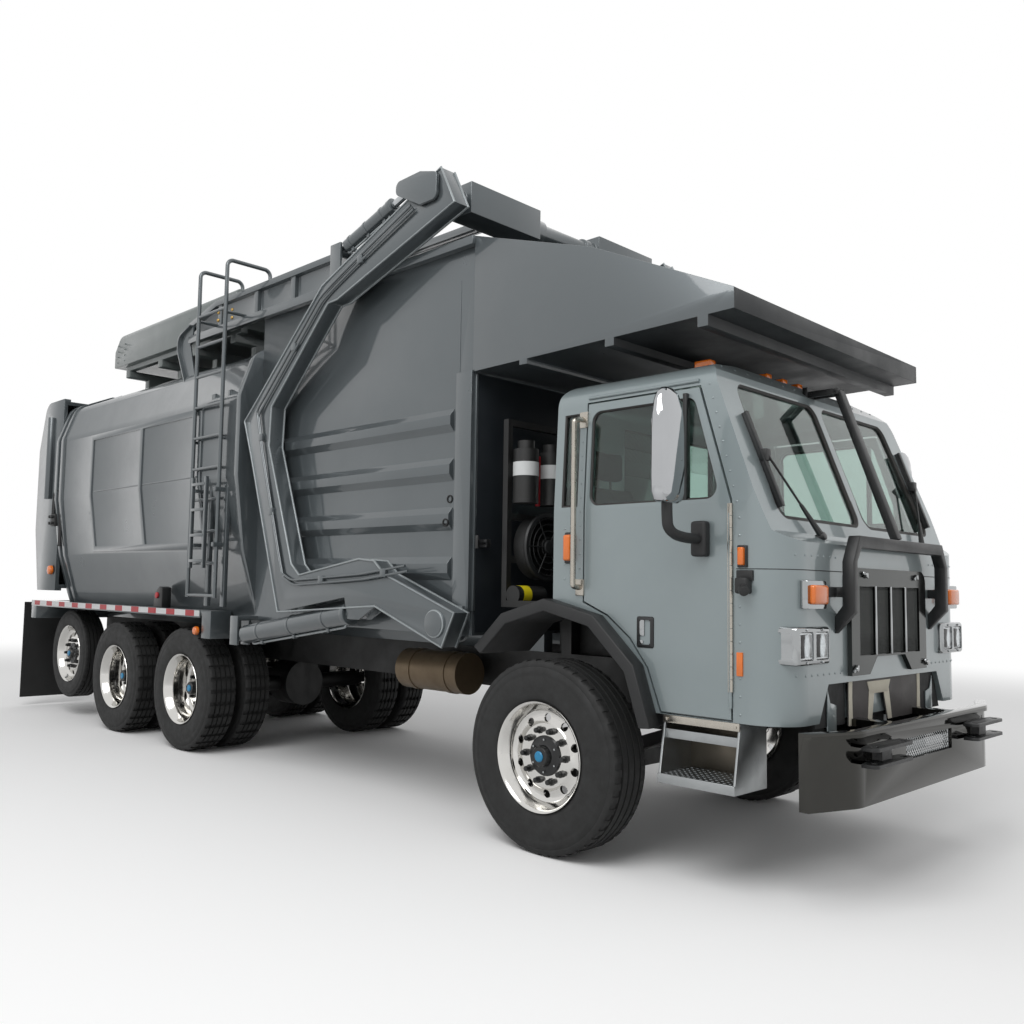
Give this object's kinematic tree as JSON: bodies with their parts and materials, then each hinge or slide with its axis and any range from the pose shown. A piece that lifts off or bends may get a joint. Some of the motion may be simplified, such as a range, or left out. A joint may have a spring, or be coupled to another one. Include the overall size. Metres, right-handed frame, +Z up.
{
  "type": "garbage truck",
  "caption": "Cab-over front-loading refuse truck with raised lift arms and forks, hopper, packing body, tailgate and a lifted tag axle.",
  "frame": {"origin": "on the ground under the middle of the truck's length and width", "axes": "+X forward, +Y to the truck's left, +Z up"},
  "size_m": [9.58, 2.9932, 4.138],
  "materials": {
    "chassis_black": "satin chassis enamel",
    "engine_grey": "cast iron",
    "rack_black": "black powder coat",
    "tank_bronze": "bronze enamel",
    "polished_steel": "polished",
    "cab_paint": "silver sage metallic enamel",
    "clear_glass": "clear",
    "grille_chrome": "chrome plate",
    "lamp_lens": "clear lens",
    "amber_lens": "amber lens",
    "guard_black": "black powder coat",
    "flare_black": "moulded",
    "step_aluminium": "pressed tread",
    "seat_fabric": "woven",
    "dash_plastic": "grained",
    "body_paint": "dark grey metallic enamel",
    "cover_paint": "grey enamel",
    "flap_rubber": "moulded sheet",
    "mirror_chrome": "chrome shell",
    "tyre_rubber": "worn rubber",
    "rim_aluminium": "polished forged",
    "rod_chrome": "hard chrome",
    "packer_steel": "worn grey enamel"
  },
  "bodies": {
    "root": {"frame_rails": "chassis_black", "front_axle": "chassis_black", "drive_axles": "chassis_black", "tag_axle": "chassis_black", "engine_block": "engine_grey", "service_rack": "rack_black", "air_tanks": "tank_bronze", "bumper": "polished_steel", "cab_shell": "cab_paint", "cab_glass": "clear_glass", "grille": "grille_chrome", "headlamps": "lamp_lens", "marker_lamps": "amber_lens", "brush_guard": "guard_black", "fenders": "flare_black", "steps": "step_aluminium", "seats": "seat_fabric", "dashboard": "dash_plastic", "steering_wheel": "dash_plastic", "hopper": "body_paint", "canopy": "body_paint", "roof_rails": "body_paint", "barrel_body": "body_paint", "roof_tank_cover": "cover_paint", "ladder": "body_paint", "rear_deck": "body_paint", "mud_flaps": "flap_rubber"},
    "knuckle_right": {"knuckle_right": "chassis_black"},
    "door_right": {"door_right": "cab_paint", "door_glass_right": "clear_glass", "mirror_right": "mirror_chrome"},
    "wheel_front_right": {"tyre_front_right": "tyre_rubber", "rim_front_right": "rim_aluminium"},
    "wheel_drive_front_right": {"tyre_drive_front_right": "tyre_rubber", "rim_drive_front_right": "rim_aluminium"},
    "wheel_drive_rear_right": {"tyre_drive_rear_right": "tyre_rubber", "rim_drive_rear_right": "rim_aluminium"},
    "wheel_tag_right": {"tyre_tag_right": "tyre_rubber", "rim_tag_right": "rim_aluminium"},
    "knuckle_left": {"knuckle_left": "chassis_black"},
    "door_left": {"door_left": "cab_paint", "door_glass_left": "clear_glass", "mirror_left": "mirror_chrome"},
    "wheel_front_left": {"tyre_front_left": "tyre_rubber", "rim_front_left": "rim_aluminium"},
    "wheel_drive_front_left": {"tyre_drive_front_left": "tyre_rubber", "rim_drive_front_left": "rim_aluminium"},
    "wheel_drive_rear_left": {"tyre_drive_rear_left": "tyre_rubber", "rim_drive_rear_left": "rim_aluminium"},
    "wheel_tag_left": {"tyre_tag_left": "tyre_rubber", "rim_tag_left": "rim_aluminium"},
    "arms": {"lift_arms": "body_paint"},
    "forks": {"fork_tube": "body_paint"},
    "lift_barrels": {"lift_barrels": "body_paint"},
    "lift_rods": {"lift_rods": "rod_chrome"},
    "fork_barrels": {"fork_barrels": "body_paint"},
    "fork_rods": {"fork_rods": "rod_chrome"},
    "tailgate": {"tailgate": "body_paint"},
    "packer": {"packer": "packer_steel"}
  },
  "joints": [
    {"name": "steer_right", "type": "hinge", "parent": "root", "child": "knuckle_right", "pos_m": [3.09, -0.85, 0.527], "axis": [0, 0, 1], "range_deg": [-35, 35]},
    {"name": "roll_front_right", "type": "hinge", "parent": "knuckle_right", "child": "wheel_front_right", "pos_m": [3.09, -1.075, 0.527], "axis": [0, 1, 0], "continuous": true},
    {"name": "roll_drive_front_right", "type": "hinge", "parent": "root", "child": "wheel_drive_front_right", "pos_m": [-1.061, -0.893, 0.523], "axis": [0, 1, 0], "continuous": true},
    {"name": "roll_drive_rear_right", "type": "hinge", "parent": "root", "child": "wheel_drive_rear_right", "pos_m": [-2.403, -0.893, 0.523], "axis": [0, 1, 0], "continuous": true},
    {"name": "roll_tag_right", "type": "hinge", "parent": "root", "child": "wheel_tag_right", "pos_m": [-3.768, -0.98, 0.655], "axis": [0, 1, 0], "continuous": true},
    {"name": "door_right_hinge", "type": "hinge", "parent": "root", "child": "door_right", "pos_m": [4.205, -1.1045, 1.88], "axis": [0, 0, 1], "range_deg": [0, 70]},
    {"name": "steer_left", "type": "hinge", "parent": "root", "child": "knuckle_left", "pos_m": [3.09, 0.85, 0.527], "axis": [0, 0, 1], "range_deg": [-35, 35]},
    {"name": "roll_front_left", "type": "hinge", "parent": "knuckle_left", "child": "wheel_front_left", "pos_m": [3.09, 1.075, 0.527], "axis": [0, 1, 0], "continuous": true},
    {"name": "roll_drive_front_left", "type": "hinge", "parent": "root", "child": "wheel_drive_front_left", "pos_m": [-1.061, 0.893, 0.523], "axis": [0, 1, 0], "continuous": true},
    {"name": "roll_drive_rear_left", "type": "hinge", "parent": "root", "child": "wheel_drive_rear_left", "pos_m": [-2.403, 0.893, 0.523], "axis": [0, 1, 0], "continuous": true},
    {"name": "roll_tag_left", "type": "hinge", "parent": "root", "child": "wheel_tag_left", "pos_m": [-3.768, 0.98, 0.655], "axis": [0, 1, 0], "continuous": true},
    {"name": "door_left_hinge", "type": "hinge", "parent": "root", "child": "door_left", "pos_m": [4.205, 1.1045, 1.88], "axis": [0, 0, -1], "range_deg": [0, 70]},
    {"name": "arms_lift", "type": "hinge", "parent": "root", "child": "arms", "pos_m": [2.31, 0, 1.22], "axis": [0, 1, 0], "range_deg": [0, 100]},
    {"name": "forks_tilt", "type": "hinge", "parent": "arms", "child": "forks", "pos_m": [2.168, 0, 3.988], "axis": [0, 1, 0], "range_deg": [0, 90]},
    {"name": "lift_cylinder_swing", "type": "hinge", "parent": "root", "child": "lift_barrels", "pos_m": [-0.02, 0, 1.035], "axis": [0, 1, 0], "range_deg": [-17, 1]},
    {"name": "lift_cylinder_slide", "type": "slide", "parent": "lift_barrels", "child": "lift_rods", "axis": [0.9886, 0, 0.1506], "range_m": [-0.005, 1.0854]},
    {"name": "fork_cylinder_swing", "type": "hinge", "parent": "arms", "child": "fork_barrels", "pos_m": [1.164, 0, 3.836], "axis": [0, 1, 0], "range_deg": [-4.78, 1]},
    {"name": "fork_cylinder_slide", "type": "slide", "parent": "fork_barrels", "child": "fork_rods", "axis": [0.9556, 0, 0.2945], "range_m": [-0.005, 0.3847]},
    {"name": "tailgate_lift", "type": "hinge", "parent": "root", "child": "tailgate", "pos_m": [-3.872, 0, 3.49], "axis": [0, 1, 0], "range_deg": [0, 80]},
    {"name": "packer_slide", "type": "slide", "parent": "root", "child": "packer", "axis": [-1, 0, 0], "range_m": [0, 1.9]}
  ],
  "couplings": [
    {"joint": "steer_left", "follows": "steer_right", "ratio": 1},
    {"joint": "lift_cylinder_swing", "follows": "arms_lift", "ratio": -0.16},
    {"joint": "lift_cylinder_slide", "follows": "arms_lift", "m_per_rad": 0.619},
    {"joint": "fork_cylinder_swing", "follows": "forks_tilt", "ratio": -0.042},
    {"joint": "fork_cylinder_slide", "follows": "forks_tilt", "m_per_rad": 0.24174}
  ]
}
